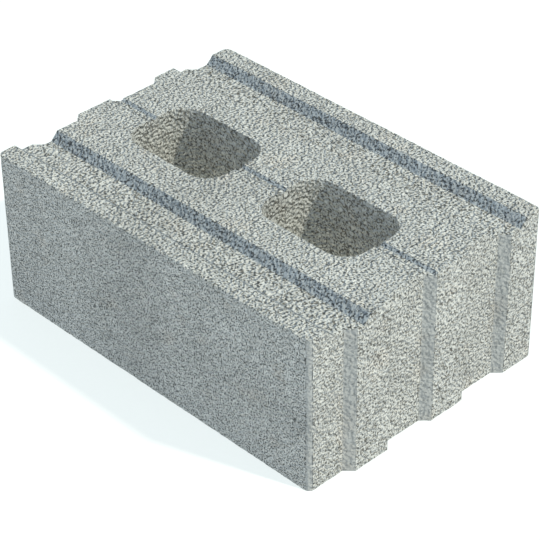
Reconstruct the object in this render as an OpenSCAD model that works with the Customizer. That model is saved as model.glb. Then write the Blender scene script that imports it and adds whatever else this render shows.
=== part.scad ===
// Hollow concrete wall block with a tongue and groove joint on both ends,
// two long grooves and a shallow centre groove in the upper bed face,
// and two cores that run through it from top to bottom.
// Millimetres. Origin at the middle of the underside: +X along the length
// towards the end that carries the projecting tongues, +Y across the
// thickness of the wall, +Z up.

/* [Block] */
// Laying length, without the tongues that project at the +X end
block_length = 500; // [440:5:560]
// Thickness of the wall the block makes
block_width = 350; // [300:5:400]
// Height of one course
block_height = 200; // [100:5:300]
// Radius of the four upright corners
corner_radius = 8; // [2:0.5:12]

/* [End joint] */
// How far the tongues stand out, and how deep the grooves that take them are
tongue_depth = 10; // [5:0.5:14]
// Width across the wall of each sloping tongue flank
tongue_flank = 10; // [5:0.5:15]

/* [Bed grooves] */
// Width of each long bed groove at the top face
groove_width = 55; // [45:1:60]
// Width of the flat floor of each long bed groove
groove_floor = 35; // [20:1:40]
// Depth of the long bed grooves
groove_depth = 10; // [4:0.5:15]
// Strip of top face left between a side face and its bed groove
groove_inset = 25; // [15:1:30]

/* [Centre groove] */
// Width of the centre groove at the top face
centre_width = 13; // [10:0.5:20]
// Width of the flat floor of the centre groove
centre_floor = 7; // [3:0.5:9]
// Depth of the centre groove
centre_depth = 3; // [1:0.5:6]

/* [Cores] */
// Size of each core along the block
core_length = 145; // [110:1:160]
// Size of each core across the block
core_width = 100; // [70:1:110]
// Radius of the upright corners of a core
core_radius = 30; // [10:1:34]
// Distance between the middles of the two cores
core_pitch = 215; // [200:1:225]

/* [Hidden] */
$fn = 96;
flats = 6;
overall_length = block_length + tongue_depth;
x_left = -overall_length / 2;
x_right = x_left + block_length;
x_tongue = overall_length / 2;
flat_width = (block_width - (flats - 1) * tongue_flank) / flats;
step = flat_width + tongue_flank;
groove_offset = block_width / 2 - groove_inset - groove_width / 2;
core_middle = x_left + block_length / 2;

// Where flat i of an end starts (side 0) and stops (side 1), across the wall.
function flat_y(i, side) = -block_width / 2 + i * step + side * flat_width;

// The +X end: odd flats are tongues. The -X end is its match: odd flats are
// the grooves that take the tongues of the next block.
right_end = [for (i = [0 : flats - 1]) for (s = [0, 1])
    [i % 2 == 1 ? x_tongue : x_right, flat_y(i, s)]];
left_end = [for (i = [flats - 1 : -1 : 0]) for (s = [1, 0])
    [i % 2 == 1 ? x_left + tongue_depth : x_left, flat_y(i, s)]];

// The square corner that a round upright corner leaves out, for a corner at
// the origin whose block lies towards +X and +Y.
module corner_waste() {
    difference() {
        translate([-1, -1]) square(corner_radius + 1);
        translate([corner_radius, corner_radius]) circle(r = corner_radius);
    }
}

// Outline of the block seen from above, with its rounded corners.
module outline() {
    difference() {
        polygon(concat(right_end, left_end));
        translate([x_left, -block_width / 2]) corner_waste();
        translate([x_left + tongue_depth, block_width / 2])
            mirror([0, 1]) corner_waste();
        translate([x_right, -block_width / 2])
            mirror([1, 0]) corner_waste();
        translate([x_tongue, block_width / 2])
            rotate(180) corner_waste();
    }
}

// A channel with sloping sides that runs the whole length, to be cut from
// the top face. It is carried on one millimetre above that face.
module channel(top, floor, depth) {
    run = (top - floor) / 2 / depth;
    translate([x_left - 5, 0, block_height])
        rotate([90, 0, 90])
            linear_extrude(height = overall_length + 10)
                polygon([
                    [-top / 2 - run, 1],
                    [-floor / 2, -depth],
                    [floor / 2, -depth],
                    [top / 2 + run, 1]
                ]);
}

// Outline of one core: a rectangle with round corners.
module core_outline() {
    square([core_length - 2 * core_radius, core_width], center = true);
    square([core_length, core_width - 2 * core_radius], center = true);
    for (sx = [-1, 1]) for (sy = [-1, 1])
        translate([sx * (core_length / 2 - core_radius),
                   sy * (core_width / 2 - core_radius)])
            circle(r = core_radius);
}

// The whole block, one cast piece.
module block() {
    color([0.66, 0.68, 0.65])
    difference() {
        linear_extrude(height = block_height) outline();
        for (s = [-1, 1])
            translate([0, s * groove_offset, 0])
                channel(groove_width, groove_floor, groove_depth);
        channel(centre_width, centre_floor, centre_depth);
        for (s = [-1, 1])
            translate([core_middle + s * core_pitch / 2, 0, -1])
                linear_extrude(height = block_height + 2) core_outline();
    }
}

block();
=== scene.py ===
import math

import bpy
import numpy as np
from mathutils import Matrix, Vector
from mathutils.geometry import delaunay_2d_cdt


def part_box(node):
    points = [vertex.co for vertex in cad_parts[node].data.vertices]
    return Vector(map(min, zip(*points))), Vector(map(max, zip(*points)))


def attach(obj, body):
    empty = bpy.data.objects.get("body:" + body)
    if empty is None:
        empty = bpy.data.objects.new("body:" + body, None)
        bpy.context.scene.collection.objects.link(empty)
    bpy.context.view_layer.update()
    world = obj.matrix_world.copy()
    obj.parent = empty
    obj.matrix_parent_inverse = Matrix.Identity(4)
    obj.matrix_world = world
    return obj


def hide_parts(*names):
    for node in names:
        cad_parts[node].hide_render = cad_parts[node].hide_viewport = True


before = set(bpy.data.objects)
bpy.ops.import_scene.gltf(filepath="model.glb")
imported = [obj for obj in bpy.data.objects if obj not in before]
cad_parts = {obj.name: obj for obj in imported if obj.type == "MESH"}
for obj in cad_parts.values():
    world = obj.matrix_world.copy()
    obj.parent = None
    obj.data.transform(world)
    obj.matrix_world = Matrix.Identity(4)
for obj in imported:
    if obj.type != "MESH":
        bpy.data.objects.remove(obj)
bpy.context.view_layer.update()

scene = bpy.context.scene

# ---------------------------------------------------------------- camera ---
# Three-quarter view from above: over the plain long side (-Y) and the end
# that carries the tongues (+X), with a long lens.
cam_data = bpy.data.cameras.new("camera")
cam_data.sensor_width = 36.0
cam_data.lens = 146.31
cam_data.clip_start = 0.05
cam_data.clip_end = 60.0
cam = bpy.data.objects.new("camera", cam_data)
cam.location = (1.47716, -1.41372, 1.53897)
cam.rotation_euler = (math.radians(54.4394), math.radians(0.5513), math.radians(45.7143))
scene.collection.objects.link(cam)
scene.camera = cam

# ------------------------------------------------------------- the block ---
# The visible block is one closed mesh that follows the CAD solid: the same
# outline, bed grooves, centre groove and cores, cut into small triangles so
# that its faces, arrises and pores can carry real relief. All the relief
# goes inwards, so nothing stands proud of the CAD block. Millimetres here.
LO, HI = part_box("block")
X0, X1 = LO[0] * 1000.0, HI[0] * 1000.0          # groove end, tips of the tongues
Y0, Y1 = LO[1] * 1000.0, HI[1] * 1000.0
H = HI[2] * 1000.0
DEPTH = 10.0                                      # tongue depth
XR = X1 - DEPTH                                   # root plane of the tongue end
FLANK, FLATS = 10.0, 6
FLAT = ((Y1 - Y0) - (FLATS - 1) * FLANK) / FLATS
CORNER = 8.0
GROOVE_TOP, GROOVE_FLOOR, GROOVE_DEPTH, GROOVE_INSET = 55.0, 35.0, 10.0, 25.0
MID_TOP, MID_FLOOR, MID_DEPTH = 13.0, 7.0, 3.0
CORE_L, CORE_W, CORE_R, CORE_PITCH = 145.0, 100.0, 30.0, 215.0
CORE_X = (X0 + XR) / 2.0

SPACE = 3.05       # spacing of points along walls and over the top
SUPPORT = 1.1      # rows beside each arris, which keep its rounding narrow
GC = Y1 - GROOVE_INSET - GROOVE_TOP / 2.0
BREAKS = sorted([s * GC + t for s in (-1, 1) for t in
                 (-GROOVE_TOP / 2, -GROOVE_FLOOR / 2, GROOVE_FLOOR / 2, GROOVE_TOP / 2)]
                + [-MID_TOP / 2, -MID_FLOOR / 2, MID_FLOOR / 2, MID_TOP / 2])


def z_top(y):
    y = np.asarray(y, float)
    z = np.full(y.shape, H)
    for c, top, floor, depth in ((-GC, GROOVE_TOP, GROOVE_FLOOR, GROOVE_DEPTH),
                                 (GC, GROOVE_TOP, GROOVE_FLOOR, GROOVE_DEPTH),
                                 (0.0, MID_TOP, MID_FLOOR, MID_DEPTH)):
        t = np.abs(y - c)
        drop = np.clip((top / 2 - t) / ((top - floor) / 2), 0, 1) * depth
        z = np.minimum(z, H - drop)
    return z


def spread(a, b, left, right, space=SPACE):
    """Positions from a to b with a support row beside each end that is an arris."""
    out = [a]
    lo, hi = a, b
    if left and b - a > 2.6 * SUPPORT:
        lo = a + SUPPORT
        out.append(lo)
    if right and b - a > 2.6 * SUPPORT:
        hi = b - SUPPORT
    n = max(1, int(round((hi - lo) / space)))
    out += [lo + (hi - lo) * i / n for i in range(1, n + 1)]
    if hi != b:
        out.append(b)
    return out


def walk(stops):
    """Points along straight runs and arcs. A stop is ('line', end, arris) or
    ('arc', centre, radius, from, to); the first stop is the start point."""
    pts = [stops[0]]
    arris = False
    for s in stops[1:]:
        if s[0] == "line":
            a, b = np.array(pts[-1]), np.array(s[1], float)
            length = float(np.hypot(*(b - a)))
            cuts = [0.0, length]
            if abs(b[1] - a[1]) > 1e-9:
                for y in BREAKS:
                    t = (y - a[1]) / (b[1] - a[1])
                    if 1e-6 < t < 1 - 1e-6:
                        cuts.append(t * length)
            cuts = sorted(cuts)
            for k in range(len(cuts) - 1):
                left = arris if k == 0 else True
                right = s[2] if k == len(cuts) - 2 else True
                for d in spread(cuts[k], cuts[k + 1], left, right)[1:]:
                    pts.append(tuple(a + (b - a) * d / length))
            arris = s[2]
        else:
            _, c, r, f, t = s
            n = max(3, int(math.ceil(abs(t - f) * r / min(SPACE, 0.36 * r))))
            for i in range(1, n + 1):
                w = f + (t - f) * i / n
                pts.append((c[0] + r * math.cos(w), c[1] + r * math.sin(w)))
            arris = False
    return np.array(pts[:-1])          # the last point closes on the first


def outline():
    q = math.pi / 2
    s = [(X0 + CORNER, Y0), ("line", (XR - CORNER, Y0), False),
         ("arc", (XR - CORNER, Y0 + CORNER), CORNER, -q, 0)]
    for i in range(FLATS):
        x = X1 if i % 2 else XR
        a = Y0 + i * (FLAT + FLANK)
        if i:
            s.append(("line", (x, a), True))
        if i < FLATS - 1:
            s.append(("line", (x, a + FLAT), True))
    s += [("line", (X1, Y1 - CORNER), False), ("arc", (X1 - CORNER, Y1 - CORNER), CORNER, 0, q),
          ("line", (X0 + DEPTH + CORNER, Y1), False),
          ("arc", (X0 + DEPTH + CORNER, Y1 - CORNER), CORNER, q, 2 * q)]
    for i in range(FLATS - 1, -1, -1):
        x = X0 + DEPTH if i % 2 else X0
        a = Y0 + i * (FLAT + FLANK)
        if i < FLATS - 1:
            s.append(("line", (x, a + FLAT), True))
        if i:
            s.append(("line", (x, a), True))
    s += [("line", (X0, Y0 + CORNER), False),
          ("arc", (X0 + CORNER, Y0 + CORNER), CORNER, 2 * q, 3 * q)]
    return walk(s)


def core_loop(cx):
    q = math.pi / 2
    l, w, r = CORE_L / 2, CORE_W / 2, CORE_R
    return walk([(cx - l + r, -w), ("line", (cx + l - r, -w), False),
                 ("arc", (cx + l - r, -w + r), r, -q, 0), ("line", (cx + l, w - r), False),
                 ("arc", (cx + l - r, w - r), r, 0, q), ("line", (cx - l + r, w), False),
                 ("arc", (cx - l + r, w - r), r, q, 2 * q), ("line", (cx - l, -w + r), False),
                 ("arc", (cx - l + r, -w + r), r, 2 * q, 3 * q)])


def to_segments(p, loop):
    """Signed distance from points p to a closed loop: positive inside."""
    a, b = loop, np.roll(loop, -1, 0)
    d = b - a
    length2 = (d * d).sum(1)
    best = np.full(len(p), 1e9)
    inside = np.zeros(len(p), bool)
    for s0 in range(0, len(p), 4096):
        q = p[s0:s0 + 4096]
        rx, ry = q[:, :1] - a[:, 0], q[:, 1:] - a[:, 1]
        t = np.clip((rx * d[:, 0] + ry * d[:, 1]) / length2, 0, 1)
        gap2 = (rx - t * d[:, 0]) ** 2 + (ry - t * d[:, 1]) ** 2
        best[s0:s0 + 4096] = np.sqrt(gap2.min(1))
        above = (a[:, 1] > q[:, 1:]) != (b[:, 1] > q[:, 1:])
        rise = np.where(d[:, 1] == 0, 1.0, d[:, 1])
        left = rx < d[:, 0] * ry / rise
        inside[s0:s0 + 4096] = (above & left).sum(1) % 2 == 1
    return np.where(inside, best, -best)


def offset(loop, by):
    """The loop moved to its left by `by`, with mitred corners."""
    d = np.roll(loop, -1, 0) - loop
    d /= np.hypot(d[:, 0], d[:, 1])[:, None]
    n = np.stack([-d[:, 1], d[:, 0]], 1)
    m = n + np.roll(n, 1, 0)
    m /= (m * n).sum(1)[:, None]
    return loop + m * by


rng = np.random.default_rng(7)
OUT = outline()
CORES = [core_loop(CORE_X + s * CORE_PITCH / 2) for s in (-1, 1)]
LOOPS = [OUT] + CORES


def plan_mesh(space, creases):
    """Triangles over the plan of the block, whose first points are those of
    the loops. With creases, rows of points follow the bed grooves."""
    loops = np.concatenate(LOOPS)
    rings = np.concatenate([offset(OUT, SUPPORT)] + [offset(c, -SUPPORT) for c in CORES])
    rows, fixed = [], []
    if creases:
        cuts = [Y0] + BREAKS + [Y1]
        for k in range(len(cuts) - 1):
            r = spread(cuts[k], cuts[k + 1], k > 0, k < len(cuts) - 2, space)
            rows += r[1:-1] if k == 0 else r[:-1]
        marks = np.array([b + o for b in BREAKS for o in (-SUPPORT, 0, SUPPORT)])
        fixed = [bool(np.min(np.abs(marks - y)) < 1e-6) for y in rows]
    else:
        rows = list(np.linspace(Y0, Y1, int((Y1 - Y0) / space))[1:-1])
        fixed = [False] * len(rows)
    pts = []
    for k, (y, f) in enumerate(zip(rows, fixed)):
        n = int((X1 - X0) / space)
        x = np.linspace(X0, X1, n + 1) + (0.5 * space if k % 2 else 0.0)
        x = x + rng.uniform(-0.26, 0.26, len(x)) * space
        yy = np.full(len(x), y) + (0 if f else 1) * rng.uniform(-0.16, 0.16, len(x)) * space
        pts.append(np.stack([x, yy], 1))
    pts = np.concatenate(pts)
    clear = np.minimum(to_segments(pts, OUT), np.minimum(-to_segments(pts, CORES[0]), -to_segments(pts, CORES[1])))
    pts = pts[clear > SUPPORT + 0.45 * space]
    every = np.concatenate([loops, rings, pts])
    edges = []
    start = 0
    for lp in LOOPS:
        edges += [(start + i, start + (i + 1) % len(lp)) for i in range(len(lp))]
        start += len(lp)
    if creases:
        # the crease lines themselves, from one end or core rim to the next
        key = {}
        for i, (x, y) in enumerate(every):
            for b in BREAKS:
                if abs(y - b) < 1e-6:
                    key.setdefault(b, []).append((x, i))
        pairs = []
        for b, row in key.items():
            row.sort()
            pairs += [(i, j) for (_, i), (_, j) in zip(row[:-1], row[1:])]
        mid = np.array([(every[i] + every[j]) / 2 for i, j in pairs])
        solid = (to_segments(mid, OUT) > 0) & (to_segments(mid, CORES[0]) < 0) & (to_segments(mid, CORES[1]) < 0)
        edges += [pair for pair, ok in zip(pairs, solid) if ok]
    verts, _, faces, orig, _, _ = delaunay_2d_cdt([Vector(p) for p in every], edges, [], 0, 1e-5)
    verts = np.array([tuple(v) for v in verts])
    if len(verts) != len(every) or any(len(o) != 1 or o[0] != i for i, o in enumerate(orig)):
        raise RuntimeError("the plan's points were merged or split")
    tri = np.array([f for f in faces if len(f) == 3])
    mid = verts[tri].mean(1)
    keep = (to_segments(mid, OUT) > 0) & (to_segments(mid, CORES[0]) < 0) & (to_segments(mid, CORES[1]) < 0)
    tri = tri[keep]
    a, b, c = (verts[tri[:, k]] for k in range(3))
    area = (b[:, 0] - a[:, 0]) * (c[:, 1] - a[:, 1]) - (b[:, 1] - a[:, 1]) * (c[:, 0] - a[:, 0])
    tri[area < 0] = tri[area < 0][:, ::-1]
    return verts, tri[np.abs(area) > 1e-7]


def block_mesh():
    plan, tri_top = plan_mesh(SPACE, True)
    plan_low, tri_low = plan_mesh(4.6, False)
    n_rim = sum(len(l) for l in LOOPS)
    levels = np.array(spread(0.0, H, True, True)) / H
    rim = np.concatenate(LOOPS)
    rim_z = z_top(rim[:, 1])
    # the walls: one column of points for each rim point
    grid = np.zeros((len(levels), n_rim, 3))
    grid[..., 0], grid[..., 1] = rim[:, 0], rim[:, 1]
    grid[..., 2] = levels[:, None] * rim_z[None]
    points = [grid.reshape(-1, 3)]
    base = grid.shape[0] * n_rim
    top_rest = np.column_stack([plan[n_rim:], z_top(plan[n_rim:, 1])])
    low_rest = np.column_stack([plan_low[n_rim:], np.zeros(len(plan_low) - n_rim)])
    points += [top_rest, low_rest]
    P = np.concatenate(points)
    faces = []
    start = 0
    for k, lp in enumerate(LOOPS):
        n = len(lp)
        i = np.arange(n)
        j = (i + 1) % n
        for r in range(len(levels) - 1):
            a, b = r * n_rim + start + i, r * n_rim + start + j
            c, d = (r + 1) * n_rim + start + j, (r + 1) * n_rim + start + i
            if k:                      # a core's wall faces its own middle
                a, b, c, d = b, a, d, c
            flip = (i + r) % 2 == 0
            t1 = np.where(flip[:, None], np.stack([a, b, c], 1), np.stack([a, b, d], 1))
            t2 = np.where(flip[:, None], np.stack([a, c, d], 1), np.stack([b, c, d], 1))
            faces += [t1, t2]
        start += n
    top_of = np.concatenate([(len(levels) - 1) * n_rim + np.arange(n_rim), base + np.arange(len(top_rest))])
    low_of = np.concatenate([np.arange(n_rim), base + len(top_rest) + np.arange(len(low_rest))])
    faces.append(top_of[tri_top])
    faces.append(low_of[tri_low][:, ::-1])
    return P, np.concatenate(faces)


def normals(P, F):
    a, b, c = P[F[:, 0]], P[F[:, 1]], P[F[:, 2]]
    fn = np.cross(b - a, c - a)
    fn /= np.maximum(np.linalg.norm(fn, axis=1), 1e-12)[:, None]
    N = np.zeros_like(P)
    for k in range(3):
        p, q, r = P[F[:, k]], P[F[:, (k + 1) % 3]], P[F[:, (k + 2) % 3]]
        u, v = q - p, r - p
        w = np.arccos(np.clip((u * v).sum(1) / (np.linalg.norm(u, axis=1) * np.linalg.norm(v, axis=1)), -1, 1))
        np.add.at(N, F[:, k], fn * w[:, None])
    length = np.linalg.norm(N, axis=1)
    # how sharply the surface turns at each point: 0 on a flat face
    turn = np.zeros(len(P))
    unit = N / np.maximum(length, 1e-12)[:, None]
    for k in range(3):
        np.maximum.at(turn, F[:, k], 1 - (unit[F[:, k]] * fn).sum(1))
    # and which way: below 0 where it is an outer arris, above 0 in a hollow one
    bend = np.zeros(len(P))
    mid = (a + b + c) / 3
    for k in range(3):
        np.add.at(bend, F[:, k], ((mid - P[F[:, k]]) * unit[F[:, k]]).sum(1))
    return unit, np.where(bend < 0, turn, 0.0), np.where(bend > 0, turn, 0.0)


def lattice(seed):
    g = np.random.default_rng(seed)
    return g.uniform(-1, 1, (32, 32, 32))


def value_noise(P, period, seed):
    """Smooth noise from -1 to 1 with features `period` millimetres across."""
    L = lattice(seed)
    q = P / period + 1000.0
    i = np.floor(q).astype(int)
    f = q - i
    f = f * f * f * (f * (f * 6 - 15) + 10)
    out = np.zeros(len(P))
    for dx in (0, 1):
        for dy in (0, 1):
            for dz in (0, 1):
                w = (f[:, 0] if dx else 1 - f[:, 0]) * (f[:, 1] if dy else 1 - f[:, 1]) * (f[:, 2] if dz else 1 - f[:, 2])
                out += w * L[(i[:, 0] + dx) % 32, (i[:, 1] + dy) % 32, (i[:, 2] + dz) % 32]
    return out


P, F = block_mesh()
N, OUTER, INNER = normals(P, F)
grit = value_noise(P, 6.0, 1)
swell = value_noise(P, 34.0, 3)
pores = np.clip(value_noise(P, 6.5, 4) - 0.66, 0, 1) / 0.34
depth = 0.16 + 0.08 * grit + 0.05 * swell + 0.40 * pores
edge = np.clip(OUTER / 0.25, 0, 1)
hollow = np.clip(INNER / 0.07, 0, 1)
worn = 0.20 + 0.20 * value_noise(P, 5.0, 5) + 0.7 * np.clip(value_noise(P, 17.0, 6) - 0.55, 0, 1)
depth = np.clip(depth, 0.02, 1.0) * (1 - 0.85 * hollow) + edge * np.clip(worn, 0.0, 1.0)
P = P - N * depth[:, None]

mesh = bpy.data.meshes.new("concrete_block")
mesh.vertices.add(len(P))
mesh.vertices.foreach_set("co", (P / 1000.0).astype(np.float32).ravel())
mesh.loops.add(F.size)
mesh.loops.foreach_set("vertex_index", F.astype(np.int32).ravel())
mesh.polygons.add(len(F))
mesh.polygons.foreach_set("loop_start", np.arange(0, F.size, 3, dtype=np.int32))
mesh.polygons.foreach_set("loop_total", np.full(len(F), 3, np.int32))
mesh.update(calc_edges=True)
if mesh.validate(verbose=False):
    raise RuntimeError("the block's mesh had to be repaired")
mesh.shade_smooth()
block = bpy.data.objects.new("concrete_block", mesh)
scene.collection.objects.link(block)
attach(block, "root")
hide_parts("block")
print("block mesh:", len(P), "points", len(F), "triangles")


# -------------------------------------------------------------- material ---
def concrete():
    m = bpy.data.materials.new("concrete")
    m.use_nodes = True
    nt = m.node_tree
    nt.nodes.clear()

    def node(kind, **k):
        n = nt.nodes.new(kind)
        for a, b in k.items():
            setattr(n, a, b)
        return n

    def put(sock, v):
        if isinstance(v, bpy.types.NodeSocket):
            nt.links.new(v, sock)
        else:
            sock.default_value = v

    def math_(op, a, b=0.5, c=None, clamp=False):
        n = node("ShaderNodeMath", operation=op, use_clamp=clamp)
        put(n.inputs[0], a)
        put(n.inputs[1], b)
        if c is not None:
            put(n.inputs[2], c)
        return n.outputs[0]

    def vmath(op, a, b):
        n = node("ShaderNodeVectorMath", operation=op)
        put(n.inputs[0], a)
        if op == "SCALE":
            put(n.inputs[3], b)
        else:
            put(n.inputs[1], b)
        return n.outputs[0]

    def smooth(x, lo, hi, a=0.0, b=1.0):
        n = node("ShaderNodeMapRange", interpolation_type="SMOOTHSTEP")
        put(n.inputs["Value"], x)
        for k, v in (("From Min", lo), ("From Max", hi), ("To Min", a), ("To Max", b)):
            n.inputs[k].default_value = v
        return n.outputs["Result"]

    def noise(vec, scale, detail=2.0, rough=0.5, dist=0.0):
        n = node("ShaderNodeTexNoise", noise_dimensions="3D")
        put(n.inputs["Vector"], vec)
        for k, v in (("Scale", scale), ("Detail", detail), ("Roughness", rough), ("Distortion", dist)):
            n.inputs[k].default_value = v
        return n

    def voronoi(vec, scale, feature="F1", rand=1.0):
        n = node("ShaderNodeTexVoronoi", voronoi_dimensions="3D", feature=feature)
        put(n.inputs["Vector"], vec)
        n.inputs["Scale"].default_value = scale
        n.inputs["Randomness"].default_value = rand
        return n

    def mix(fac, a, b, blend="MIX"):
        n = node("ShaderNodeMix", data_type="RGBA", blend_type=blend)
        put(n.inputs[0], fac)
        put(n.inputs[6], a)
        put(n.inputs[7], b)
        return n.outputs[2]

    pos = node("ShaderNodeTexCoord").outputs["Object"]
    # bend the space a little, so that no grain is a clean polygon
    bend = vmath("SCALE", vmath("SUBTRACT", noise(pos, 450.0, 1.0).outputs["Color"], (0.5, 0.5, 0.5)), 0.0024)
    q = vmath("ADD", pos, bend)

    # open pits between the grains: short, dark and separate
    pit_noise = noise(pos, 450.0, 0.6, 0.45, 0.25).outputs["Fac"]
    pit = smooth(pit_noise, 0.34, 0.50, 1.0, 0.0)
    # aggregate, 3 to 5 mm across
    grain = voronoi(q, 320.0)
    seam = smooth(voronoi(q, 320.0, "DISTANCE_TO_EDGE").outputs["Distance"], 0.0, 0.26, 1.0, 0.0)
    grain_id = node("ShaderNodeSeparateColor")
    put(grain_id.inputs[0], grain.outputs["Color"])
    sand = noise(pos, 700.0, 1.0, 0.5).outputs["Fac"]   # fines between the grains

    split = node("ShaderNodeSeparateXYZ")
    put(split.inputs[0], pos)
    facing = node("ShaderNodeSeparateXYZ")
    put(facing.inputs[0], node("ShaderNodeTexCoord").outputs["Normal"])
    level = smooth(facing.outputs[2], 0.80, 0.95)
    side = smooth(math_("ABSOLUTE", split.outputs[1], 0.0), 0.1725, 0.1735)

    # larger, paler grains, each in a dark outline: they show on the ends and
    # in the cores, and hardly on the top and the long sides
    big = voronoi(vmath("ADD", q, (0.31, 0.17, 0.05)), 105.0)
    big_id = node("ShaderNodeSeparateColor")
    put(big_id.inputs[0], big.outputs["Color"])
    chosen = math_("MULTIPLY", smooth(big_id.outputs[0], 0.68, 0.70), math_("SUBTRACT", 1.0, math_("MULTIPLY", math_("MAXIMUM", level, side), 0.88)))
    large = math_("MULTIPLY", smooth(big.outputs["Distance"], 0.26, 0.40, 1.0, 0.0), chosen)
    # painted shadow: a dark ring round the foot of each large raised grain
    painted_grain_shadow_ring = math_("MULTIPLY", smooth(big.outputs["Distance"], 0.32, 0.42), smooth(big.outputs["Distance"], 0.46, 0.58, 1.0, 0.0))
    painted_grain_shadow_ring = math_("MULTIPLY", painted_grain_shadow_ring, chosen)
    keep = math_("SUBTRACT", 1.0, math_("MULTIPLY", large, 0.55))

    # the slanting sides of the tongues and the rounded corners slid along the
    # mould: they are smoother, with fewer open pits, and are also painted darker as shade
    slant = math_("MULTIPLY", math_("ABSOLUTE", facing.outputs[0], 0.0), math_("ABSOLUTE", facing.outputs[1], 0.0))
    from_end = math_("ABSOLUTE", split.outputs[0], 0.0)
    slid_and_painted_shade = math_("MULTIPLY", smooth(slant, 0.22, 0.36), smooth(from_end, 0.232, 0.236))
    keep = math_("MULTIPLY", keep, math_("SUBTRACT", 1.0, math_("MULTIPLY", slid_and_painted_shade, 0.60)))

    # the long side faces were cast against the mould: their pits are finer
    fine = smooth(noise(pos, 560.0, 0.6, 0.45, 0.25).outputs["Fac"], 0.34, 0.50, 1.0, 0.0)
    pit = math_("ADD", math_("MULTIPLY", pit, math_("SUBTRACT", 1.0, side)), math_("MULTIPLY", fine, side))
    seam = math_("MULTIPLY", seam, math_("SUBTRACT", 1.0, math_("MULTIPLY", side, 0.35)))
    pit = math_("MULTIPLY", pit, keep)
    seam = math_("MULTIPLY", seam, keep)

    # the relief follows the grains; the finest fines hardly tilt the surface
    lumps = noise(pos, 270.0, 0.0).outputs["Fac"]
    soft = voronoi(q, 250.0, "SMOOTH_F1")
    soft.inputs["Smoothness"].default_value = 0.35
    height = math_("ADD", lumps, math_("MULTIPLY", soft.outputs["Distance"], -0.40))
    height = math_("ADD", height, math_("MULTIPLY", pit, -0.02))
    height = math_("ADD", height, math_("MULTIPLY", sand, 0.03))
    # a large grain is a low dome that stands over the small ones
    height = math_("SUBTRACT", height, math_("MULTIPLY", math_("MULTIPLY", large, 0.70), math_("SUBTRACT", height, 0.43)))

    # tone: 0 dark, 1 light
    tone = math_("ADD", 0.88, math_("MULTIPLY", pit, -0.80))
    tone = math_("ADD", tone, math_("MULTIPLY", seam, -0.26))
    tone = math_("ADD", tone, math_("MULTIPLY", math_("SUBTRACT", grain_id.outputs[0], 0.5), 0.14))
    tone = math_("ADD", tone, math_("MULTIPLY", math_("SUBTRACT", sand, 0.5), 0.40))
    tone = math_("ADD", tone, math_("MULTIPLY", large, 0.01))
    tone = math_("ADD", tone, math_("MULTIPLY", math_("MULTIPLY", painted_grain_shadow_ring, math_("SUBTRACT", 1.0, slid_and_painted_shade)), -0.24))
    ramp = node("ShaderNodeValToRGB")
    put(ramp.inputs[0], tone)
    el = ramp.color_ramp.elements
    el[0].position, el[0].color = 0.0, (0.190, 0.184, 0.170, 1)
    el[1].position, el[1].color = 1.0, (0.640, 0.644, 0.628, 1)
    e = el.new(0.45)
    e.color = (0.414, 0.421, 0.412, 1)
    e = el.new(0.72)
    e.color = (0.592, 0.598, 0.586, 1)
    colour = ramp.outputs[0]

    # the top was struck off, not pressed, so its pits are deeper
    colour = mix(math_("MULTIPLY", math_("MULTIPLY", level, pit), 0.45), colour, mix(1.0, colour, (0.52, 0.52, 0.50, 1), "MULTIPLY"))

    # painted light: the top is painted 3.5 % lighter and the long sides 1 % lighter
    colour = mix(level, colour, mix(1.0, colour, (1.035, 1.035, 1.035, 1), "MULTIPLY"))
    colour = mix(side, colour, mix(1.0, colour, (1.010, 1.010, 1.010, 1), "MULTIPLY"))
    colour = mix(math_("MULTIPLY", math_("MULTIPLY", side, pit), 0.95), colour, mix(1.0, colour, (0.44, 0.48, 0.49, 1), "MULTIPLY"))
    # painted shade: the short walls of the cores are painted a little darker
    painted_core_wall_shade = math_("MULTIPLY", smooth(math_("ABSOLUTE", split.outputs[1], 0.0), 0.0500, 0.0515, 1.0, 0.0),
                  smooth(from_end, 0.200, 0.210, 1.0, 0.0))
    painted_core_wall_shade = math_("MULTIPLY", painted_core_wall_shade, smooth(math_("ABSOLUTE", facing.outputs[0], 0.0), 0.5, 0.9))
    colour = mix(painted_core_wall_shade, colour, mix(1.0, colour, (0.900, 0.905, 0.910, 1), "MULTIPLY"))

    # slow drift of tone, and a few warmer patches
    drift = noise(pos, 17.0, 3.0, 0.55).outputs["Fac"]
    colour = mix(1.0, colour, mix(smooth(drift, 0.3, 0.7), (0.96, 0.96, 0.96, 1), (1.04, 1.04, 1.04, 1)), "MULTIPLY")
    warm = noise(vmath("ADD", pos, (0.4, 0.1, 0.7)), 26.0, 2.0).outputs["Fac"]
    colour = mix(math_("MULTIPLY", smooth(warm, 0.56, 0.74), 0.45), colour, mix(1.0, colour, (1.06, 0.99, 0.93, 1), "MULTIPLY"))

    # a slightly darker band at mid height, and a darker patch across the middle
    # of the front half
    z_band = math_("MULTIPLY", smooth(split.outputs[2], 0.045, 0.080), smooth(split.outputs[2], 0.092, 0.130, 1.0, 0.0))
    x_band = math_("MULTIPLY", smooth(split.outputs[0], -0.120, -0.040), smooth(split.outputs[0], -0.010, 0.060, 1.0, 0.0))
    x_band = math_("MULTIPLY", x_band, smooth(split.outputs[1], -0.03, 0.03, 1.0, 0.0))
    tint = math_("SUBTRACT", 1.0, math_("ADD", math_("MULTIPLY", z_band, 0.05), math_("MULTIPLY", x_band, 0.085)))
    colour = vmath("SCALE", colour, tint)
    # painted shade: the tongue slopes and the rounded corners at the ends are painted darker
    colour = mix(slid_and_painted_shade, colour, mix(1.0, colour, (0.640, 0.650, 0.664, 1), "MULTIPLY"))
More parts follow.
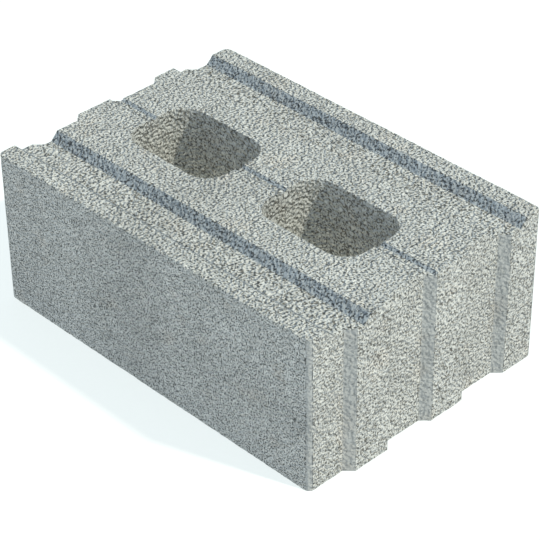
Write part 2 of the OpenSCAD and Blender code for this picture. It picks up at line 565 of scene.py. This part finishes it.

    # painted shade: the sloping sides of the bed grooves are painted darker and bluer, with darker pits
    aside = smooth(math_("ABSOLUTE", facing.outputs[0], 0.0), 0.45, 0.75, 1.0, 0.0)
    ragged = math_("MULTIPLY", math_("SUBTRACT", sand, 0.5), 0.0006)
    painted_groove_shade = None
    for c, top, floor, low in ((GC, GROOVE_TOP, GROOVE_FLOOR, GROOVE_DEPTH), (-GC, GROOVE_TOP, GROOVE_FLOOR, GROOVE_DEPTH),
                               (0.0, MID_TOP, MID_FLOOR, MID_DEPTH)):
        off = math_("ABSOLUTE", math_("SUBTRACT", split.outputs[1], c / 1000.0), 0.0)
        off = math_("ADD", off, ragged)
        groove_shade_band = math_("MULTIPLY", smooth(off, (floor / 2 - 0.9) / 1000, (floor / 2 - 0.3) / 1000),
                     smooth(off, (top / 2 + 0.1) / 1000, (top / 2 + 0.7) / 1000, 1.0, 0.0))
        groove_shade_band = math_("MULTIPLY", groove_shade_band, smooth(split.outputs[2], (H - low - 2.0) / 1000, (H - low - 1.5) / 1000,
                                              0.0, 1.0 if c else 1.15))
        painted_groove_shade = groove_shade_band if painted_groove_shade is None else math_("MAXIMUM", painted_groove_shade, groove_shade_band)
    painted_groove_shade = math_("MULTIPLY", painted_groove_shade, aside)
    colour = mix(painted_groove_shade, colour, mix(1.0, colour, (0.595, 0.645, 0.715, 1), "MULTIPLY"))
    colour = mix(math_("MULTIPLY", math_("MULTIPLY", painted_groove_shade, pit), 0.55), colour, mix(1.0, colour, (0.42, 0.43, 0.47, 1), "MULTIPLY"))

    bump = node("ShaderNodeBump")
    bump.inputs["Strength"].default_value = 1.0
    bump.inputs["Distance"].default_value = 0.0080
    put(bump.inputs["Height"], math_("MULTIPLY", height, math_("SUBTRACT", 1.0, math_("MAXIMUM", math_("MULTIPLY", painted_groove_shade, 0.50), math_("MULTIPLY", slid_and_painted_shade, 0.62)))))

    bsdf = node("ShaderNodeBsdfPrincipled")
    put(bsdf.inputs["Base Color"], colour)
    put(bsdf.inputs["Roughness"], smooth(tone, 0.0, 1.0, 0.97, 0.86))
    bsdf.inputs["Specular IOR Level"].default_value = 0.18
    put(bsdf.inputs["Normal"], bump.outputs[0])
    out = node("ShaderNodeOutputMaterial")
    nt.links.new(bsdf.outputs[0], out.inputs[0])
    return m


mat = concrete()
mesh.materials.append(mat)

# --------------------------------------------------------- floor and light ---
floor_mesh = bpy.data.meshes.new("floor")
floor_mesh.from_pydata([(-6, -6, 0), (6, -6, 0), (6, 6, 0), (-6, 6, 0)], [], [(0, 1, 2, 3)])
floor = bpy.data.objects.new("floor", floor_mesh)
scene.collection.objects.link(floor)
fm = bpy.data.materials.new("floor")
fm.use_nodes = True
fb = fm.node_tree.nodes["Principled BSDF"]
fb.inputs["Base Color"].default_value = (0.32, 0.32, 0.32, 1)
fb.inputs["Roughness"].default_value = 1.0
fb.inputs["Specular IOR Level"].default_value = 0.0
fb.inputs["Emission Color"].default_value = (0.93, 1.0, 0.99, 1)
fb.inputs["Emission Strength"].default_value = 0.74
floor_mesh.materials.append(fm)

sun_data = bpy.data.lights.new("key", "SUN")
sun_data.energy = 2.74
sun_data.color = (1.0, 0.963, 0.786)
sun_data.angle = math.radians(3.0)
sun = bpy.data.objects.new("key", sun_data)
sun.rotation_euler = Vector((0.9, 0.32, 1.0)).to_track_quat("Z", "Y").to_euler()
scene.collection.objects.link(sun)

# light that comes up through the open cores from the pale ground
for k, s in enumerate((-1, 1)):
    up_data = bpy.data.lights.new("core_fill_%d" % k, "AREA")
    up_data.shape = "RECTANGLE"
    up_data.size, up_data.size_y = 0.130, 0.085
    up_data.energy = 0.076
    up_data.color = (1.0, 1.0, 0.80)
    up = bpy.data.objects.new("core_fill_%d" % k, up_data)
    up.location = ((CORE_X + s * CORE_PITCH / 2) / 1000.0, 0.0, 0.003)
    up.rotation_euler = (math.pi, 0.0, 0.0)
    scene.collection.objects.link(up)

world = bpy.data.worlds.new("world")
scene.world = world
world.use_nodes = True
bg = world.node_tree.nodes["Background"]
bg.inputs[0].default_value = (0.633, 0.743, 0.812, 1)
bg.inputs[1].default_value = 1.0

scene.view_settings.view_transform = "Standard"
scene.view_settings.look = "None"
